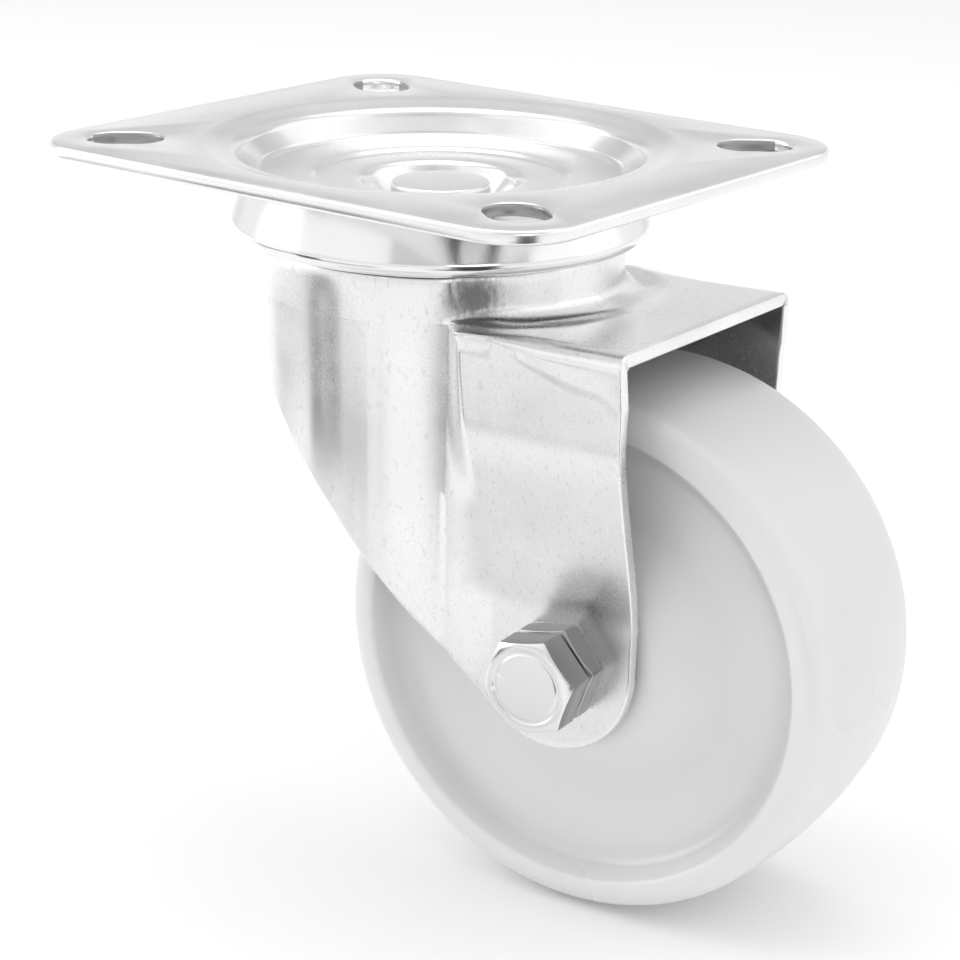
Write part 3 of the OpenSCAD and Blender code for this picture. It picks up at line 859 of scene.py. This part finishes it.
class CASTOR_OT_fork(bpy.types.Operator):
    """Makes the pressed fork: roof, neck, crown, skirt and legs in one sheet"""
    bl_idname = "castor.fork"
    bl_label = "Fork"

    def is_rim(self, edge):
        """The sheet's bore, and its edges below the neck."""
        return (not all(f.material_index == 1 for f in edge.link_faces)
                and all(v.co.x > 43 or v.co.z < -24.2 or v.co.xy.length < 15
                        for v in edge.verts))

    def execute(self, context):
        fork = settings().fork
        form = ForkForm(fork)
        bm = bmesh.new()
        bmesh.ops.create_grid(bm, x_segments=form.columns, y_segments=form.rows, size=0.5)
        missing = []
        for v in bm.verts:
            column = round((v.co.x + 0.5) * form.columns)
            row = round((v.co.y + 0.5) * form.rows)
            if column > form.first_edge_column and row > form.first_bend_row:
                missing.append(v)
            else:
                v.co = form.creased(form.point(column, row))
        bmesh.ops.delete(bm, geom=missing, context="VERTS")
        bmesh.ops.mirror(bm, geom=bm.verts[:] + bm.edges[:] + bm.faces[:], axis="Y",
                         merge_dist=0.01)
        bmesh.ops.remove_doubles(bm, verts=bm.verts, dist=0.002)
        bmesh.ops.recalc_face_normals(bm, faces=bm.faces)
        side = max(bm.faces, key=lambda f: -f.calc_center_median().y)
        if side.normal.y > 0:
            bmesh.ops.reverse_faces(bm, faces=bm.faces)
        with_thickness(bm, fork.sheet)
        form.clear_folds(bm)
        for v in bm.verts:
            v.co = form.leaned(v.co)
        rounded(bm, 0.28, 3, 65, self.is_rim)
        # The inner face takes the darker zinc, which is painted shade.
        finished(bm, "fork_sheet", "fork", "zinc_fork", "fork", TO_FORK, "zinc_inside_painted_shade")
        return {"FINISHED"}


def hexagon(bm, across, low, high, face_rim, edge, bore=0.0, both_ends=False):
    """A hexagon with its corners turned off at the low end, or at both.

    One without a bore is a bolt's head, and has a shallow ring pressed into its low face.
    """
    turn = settings().axle.hex_turn
    face = across / 2 - face_rim
    rise = 0.6
    slope = math.tan(math.radians(30))
    ring = [(4.75, low), (4.95, low + 0.14), (5.3, low + 0.14), (5.5, low)]
    side = [(face, low), (across / 2, low + rise), (across / 2, high - rise), (face, high)]
    if bore:
        profile = [(bore, low)] + side + [(bore, high), (bore, low)]
    else:
        profile = [(0.0, low)] + ring + side + [(0.0, high)]
    spun(bm, profile, 120)
    for v in bm.verts:
        if v.co.xy.length <= face - 0.01:
            continue
        angle = math.atan2(v.co.y, v.co.x)
        flat = across / 2 / math.cos((angle + turn) % (PI / 3) - PI / 6)
        at_low = v.co.z < (low + high) / 2
        at_end = min(v.co.z - low, high - v.co.z) < 0.01
        is_turned = at_low or both_ends
        radius = min(face, flat) if at_end and is_turned else flat
        v.co.xy = Vector((math.cos(angle), math.sin(angle))) * radius
        if not at_end:
            drop = (flat - face) * slope if is_turned else 0.05
            v.co.z = low + drop if at_low else high - drop
    bmesh.ops.recalc_face_normals(bm, faces=bm.faces)
    rounded(bm, edge, 2, 40, clamp=True)


def darker_sides(bm, facing):
    """Gives the flats, and the end that faces up (1) or down (-1), the second material."""
    for f in bm.faces:
        outside = f.calc_center_median().xy.length > 4.3
        if outside and (abs(f.normal.z) < 0.4 or f.normal.z * facing > 0.7):
            f.material_index = 1


class CASTOR_OT_axle(bpy.types.Operator):
    """Makes the axle bolt, the jam nut, the washer and the lock nut"""
    bl_idname = "castor.axle"
    bl_label = "Axle Fasteners"

    def execute(self, context):
        s = settings()
        half, across, shank = s.fork.axle_half, s.axle.across, s.axle.bolt / 2
        nut_near = -half - s.axle.jam_nut
        head_near = nut_near - s.axle.gap - s.axle.head
        lock_low = half + s.axle.washer
        lock_top = lock_low + s.axle.lock_nut
        collar_low = lock_low + s.axle.lock_nut * 0.72
        tip = lock_top + s.axle.bolt_end
        nut_bore = shank - 0.05

        bm = bmesh.new()
        hexagon(bm, across, head_near, head_near + s.axle.head, 0.35, 0.16)
        darker_sides(bm, 1)
        spun(bm, [(0, tip), (shank - 0.7, tip), (shank, tip - 0.8), (shank, head_near + 1),
                  (0, head_near + 1)], 64)
        finished(bm, "axle_bolt_body", "fork", "zinc_bolt", "axle_bolt", TO_AXLE, "zinc_side")

        bm = bmesh.new()
        hexagon(bm, across, nut_near, -half, 0.1, 0.14, nut_bore, both_ends=True)
        darker_sides(bm, -1)
        finished(bm, "jam_nut_body", "fork", "zinc_nut", "jam_nut", TO_AXLE, "zinc_side")

        bm = bmesh.new()
        washer, washer_bore = s.axle.washer_width / 2, shank + 0.2
        spun(bm, [(washer_bore, half), (washer, half), (washer, lock_low),
                  (washer_bore, lock_low), (washer_bore, half)], 96)
        rounded(bm, 0.2, 2, 40, clamp=True)
        finished(bm, "axle_washer_ring", "fork", "zinc_nut", "axle_washer", TO_AXLE)

        bm = bmesh.new()
        hexagon(bm, across, lock_low, collar_low, 0.1, 0.14, nut_bore)
        collar = across / 2 - 0.6
        round_edge = 1.2
        spun(bm, [(nut_bore, collar_low - 0.6), (collar, collar_low - 0.6),
                  (collar, lock_top - round_edge)]
             + arc(collar - round_edge, lock_top - round_edge, round_edge, 0, 90, 6)
             + [(nut_bore, lock_top), (nut_bore, collar_low - 0.6)], 96)
        finished(bm, "lock_nut_body", "fork", "zinc_nut", "lock_nut", TO_AXLE)
        return {"FINISHED"}


class CASTOR_OT_wheel(bpy.types.Operator):
    """Makes the moulded wheel: crowned tread, side recesses and hub"""
    bl_idname = "castor.wheel"
    bl_label = "Wheel"

    def execute(self, context):
        w = settings().wheel
        fork = settings().fork
        radius = (WHEEL_HIGH.z - WHEEL_LOW.z) / 2
        half = w.width / 2
        lip = radius - w.rim
        web = half - w.recess
        floor = web - 0.05
        hub_face = fork.axle_half - fork.sheet - 1.2
        slope_steps = 14
        slope = [(mix(w.hub - 1.0, w.hub + 10.5, i / slope_steps),
                  mix(hub_face - 0.2, floor, smooth(i / slope_steps)))
                 for i in range(1, slope_steps + 1)]
        tread = [(radius - w.crowning * s * s, (half - w.edge) * s)
                 for s in (0.85, 0.7, 0.5, 0.35, 0.2, 0.1, 0)]
        side = ([(w.bore, hub_face)]
                + arc(w.hub - 2.0, hub_face - 1.0, 1.0, 100, 80, 3)
                + slope
                + [(lip - 8.0, floor)]
                + arc(lip - 3.6, web + 2.8, 2.8, 270, 340, 10)
                + arc(lip + 0.9, half - 0.9, 0.9, 165, 90, 8)
                + arc(radius - w.crowning - w.edge, half - w.edge, w.edge, 90, 8, 14)
                + tread)
        far = [(r, -z) for r, z in reversed(side[:-1])]
        bm = bmesh.new()
        spun(bm, side + far + side[:1], 200)
        finished(bm, "wheel_moulding", "wheel", "white_nylon", "wheel", TO_AXLE)
        return {"FINISHED"}


class CASTOR_OT_stage(bpy.types.Operator):
    """Makes the floor, the sky, the soft lights, the hidden cards and the camera"""
    bl_idname = "castor.stage"
    bl_label = "Stage"

    floor_shade, floor_glow = 0.95, 0.05
    floor_z = WHEEL_LOW.z
    low, lower = floor_z + 1.5, floor_z + 1
    # Shades of the sky, from straight down (0) to straight up (1)
    sky_tones = ((0.0, 1.0), (0.20, 0.97), (0.28, 0.60), (0.50, 0.76), (1.0, 0.85))
    # Place, aim and size in metres, and power in watts
    lights = (
        ("top_light", (-0.1, 0.1, 0.9), (0.01, 0, -0.05), (0.9, 0.9), 2.6),
        ("left_light", (-0.75, -0.45, 0.35), (0, 0, -0.03), (0.5, 0.7), 2.6),
        ("right_light", (0.6, 0.55, 0.30), (0, 0, -0.03), (0.5, 0.6), 0.6),
        ("low_light", (0.62, -0.42, 0.06), (0.04, 0, -0.07), (0.3, 0.3), 0.6),
    )
    # Azimuth in degrees; width, lowest and highest edge and distance in mm; shade
    standing_cards = (
        ("front_flag", -34, 108, lower, 10, 250, 0.02),
        ("side_flag", -123, 56, lower, -50, 200, 0.05),
        ("back_flag", 128, 130, lower, -50, 240, 0.62),
        ("band_card", 158, 130, lower, -50, 230, 1.9),
        ("left_softbox", -112, 560, 90, 620, 420, 1.1),
        ("right_softbox", 35, 640, 70, 560, 420, 1.2),
        ("neck_card", 24, 250, lower, -25, 300, 1.1),
        ("dish_card", 152, 190, -5, 58, 420, 1.1),
        ("gap_flag", -37, 110, 120, 520, 400, 0.62),
    )
    # Centre, size and height in mm; shade
    lying_cards = (
        ("leg_flag", (-40, -212), (120, 92), lower, 0.60),
        ("facet_card", (-15, -132), (90, 56), low, 1.05),
        ("low_leg_flag", (5, -80), (90, 40), lower, 0.84),
        ("cup_flag", (190, -140), (136, 130), low, 0.02),
        ("left_flag", (-265, -175), (130, 230), lower, 0.60),
    )

    def card(self, name, centre, aim, width, height, shade, hidden=True):
        """A flat card. A hidden one glows, and is seen only as a reflection."""
        bm = bmesh.new()
        bmesh.ops.create_grid(bm, x_segments=1, y_segments=1, size=0.5)
        bmesh.ops.scale(bm, vec=(width, height, 1), verts=bm.verts)
        turn = (Vector(aim) - Vector(centre)).to_track_quat("Z", "Y").to_matrix().to_4x4()
        bmesh.ops.transform(bm, matrix=Matrix.Translation(centre) @ turn, verts=bm.verts)
        mesh = bpy.data.meshes.new(name)
        bm.to_mesh(mesh)
        bm.free()
        finish = Finish(name)
        finish.paint({"Roughness": 0.9, "Emission Color": (1, 1, 1, 1)})
        if hidden:
            finish.paint({"Base Color": (0, 0, 0, 1), "Specular IOR Level": 0,
                          "Emission Strength": shade})
        else:
            finish.paint({"Base Color": (shade, shade, shade, 1),
                          "Emission Strength": self.floor_glow})
        mesh.materials.append(finish.material)
        piece = bpy.data.objects.new(name, mesh)
        bpy.context.scene.collection.objects.link(piece)
        if hidden:
            piece.visible_camera = piece.visible_diffuse = piece.visible_shadow = False

    def around(self, name, azimuth, width, low, high, distance, shade):
        """A hidden card that stands round the castor, between two heights in mm."""
        turn = math.radians(azimuth)
        place = Vector((math.cos(turn) * distance, math.sin(turn) * distance,
                        (low + high) / 2)) * MM
        self.card(name, place, (0, 0, place.z), width * MM, (high - low) * MM, shade)

    def lying(self, name, centre, size, height, shade):
        """A hidden card that lies flat above the floor, in mm."""
        place = Vector((*centre, height)) * MM
        self.card(name, place, place + Vector((0, 0, 1)), size[0] * MM, size[1] * MM, shade)

    def light(self, name, place, aim, size, watts):
        """A soft area light; its place, aim and size are in metres."""
        lamp = bpy.data.lights.new(name, "AREA")
        lamp.shape = "RECTANGLE"
        lamp.size, lamp.size_y = size
        lamp.energy = watts
        thing = bpy.data.objects.new(name, lamp)
        thing.location = place
        aim_line = Vector(aim) - Vector(place)
        thing.rotation_euler = aim_line.to_track_quat("-Z", "Y").to_euler()
        bpy.context.scene.collection.objects.link(thing)

    def sky(self, scene):
        """A plain sky that is lightest above and below, and darker just over the floor."""
        world = bpy.data.worlds.new("studio")
        scene.world = world
        world.use_nodes = True
        nodes, links = world.node_tree.nodes, world.node_tree.links
        place = nodes.new("ShaderNodeTexCoord")
        split = nodes.new("ShaderNodeSeparateXYZ")
        rise = nodes.new("ShaderNodeValToRGB")
        ramp = rise.color_ramp
        ramp.interpolation = "EASE"
        for height, tone in self.sky_tones[1:-1]:
            ramp.elements.new(height)
        for element, (height, tone) in zip(ramp.elements, self.sky_tones):
            element.position = height
            element.color = (tone, tone, tone, 1)
        links.new(place.outputs["Generated"], split.inputs["Vector"])
        links.new(split.outputs["Z"], rise.inputs["Fac"])
        links.new(rise.outputs["Color"], nodes["Background"].inputs["Color"])
        nodes["Background"].inputs["Strength"].default_value = 1.0

    def camera(self, scene):
        """The photograph's camera."""
        lens = bpy.data.cameras.new("camera")
        lens.sensor_width = SENSOR_WIDTH
        lens.lens = FOCAL_PIXELS / PHOTO_PIXELS * SENSOR_WIDTH
        lens.clip_start = 0.01
        eye = bpy.data.objects.new("camera", lens)
        axes = (CAMERA_RIGHT, CAMERA_UP, CAMERA_RIGHT.cross(CAMERA_UP))
        turn = Matrix(axes).transposed().to_4x4()
        eye.matrix_world = Matrix.Translation(CAMERA_PLACE) @ turn
        scene.collection.objects.link(eye)
        scene.camera = eye

    def execute(self, context):
        scene = bpy.context.scene
        scene.view_settings.view_transform = "Standard"
        self.card("floor", (0, 0, self.floor_z * MM), (0, 0, 1), 6, 6, self.floor_shade,
                  hidden=False)
        self.sky(scene)
        for lamp in self.lights:
            self.light(*lamp)
        for card in self.standing_cards:
            self.around(*card)
        for card in self.lying_cards:
            self.lying(*card)
        self.camera(scene)
        return {"FINISHED"}


class CASTOR_PT_panel(bpy.types.Panel):
    """Lists the castor's pieces and their sizes"""
    bl_label = "Swivel Castor"
    bl_idname = "CASTOR_PT_panel"
    bl_space_type = "VIEW_3D"
    bl_region_type = "UI"
    bl_category = "Castor"

    def draw(self, context):
        layout = self.layout
        castor = context.scene.castor
        for title in castor.__annotations__:
            group = getattr(castor, title)
            box = layout.box()
            box.label(text=title.title())
            for name in group.__annotations__:
                box.prop(group, name)
        for operator in OPERATORS:
            layout.operator(operator.bl_idname)


SETTINGS = (PlateSettings, ForkSettings, AxleSettings, WheelSettings, FinishSettings,
            CastorSettings)
OPERATORS = (CASTOR_OT_finishes, CASTOR_OT_plate, CASTOR_OT_race, CASTOR_OT_kingpin,
             CASTOR_OT_fork, CASTOR_OT_axle, CASTOR_OT_wheel, CASTOR_OT_stage)
CLASSES = SETTINGS + OPERATORS + (CASTOR_PT_panel,)


def register():
    for cls in CLASSES:
        bpy.utils.register_class(cls)
    bpy.types.Scene.castor = PointerProperty(type=CastorSettings)


def unregister():
    del bpy.types.Scene.castor
    for cls in reversed(CLASSES):
        bpy.utils.unregister_class(cls)


def main():
    register()
    bpy.ops.castor.finishes()
    bpy.ops.castor.plate()
    bpy.ops.castor.race()
    bpy.ops.castor.kingpin()
    bpy.ops.castor.fork()
    bpy.ops.castor.axle()
    bpy.ops.castor.wheel()
    bpy.ops.castor.stage()


if __name__ == "__main__":
    main()
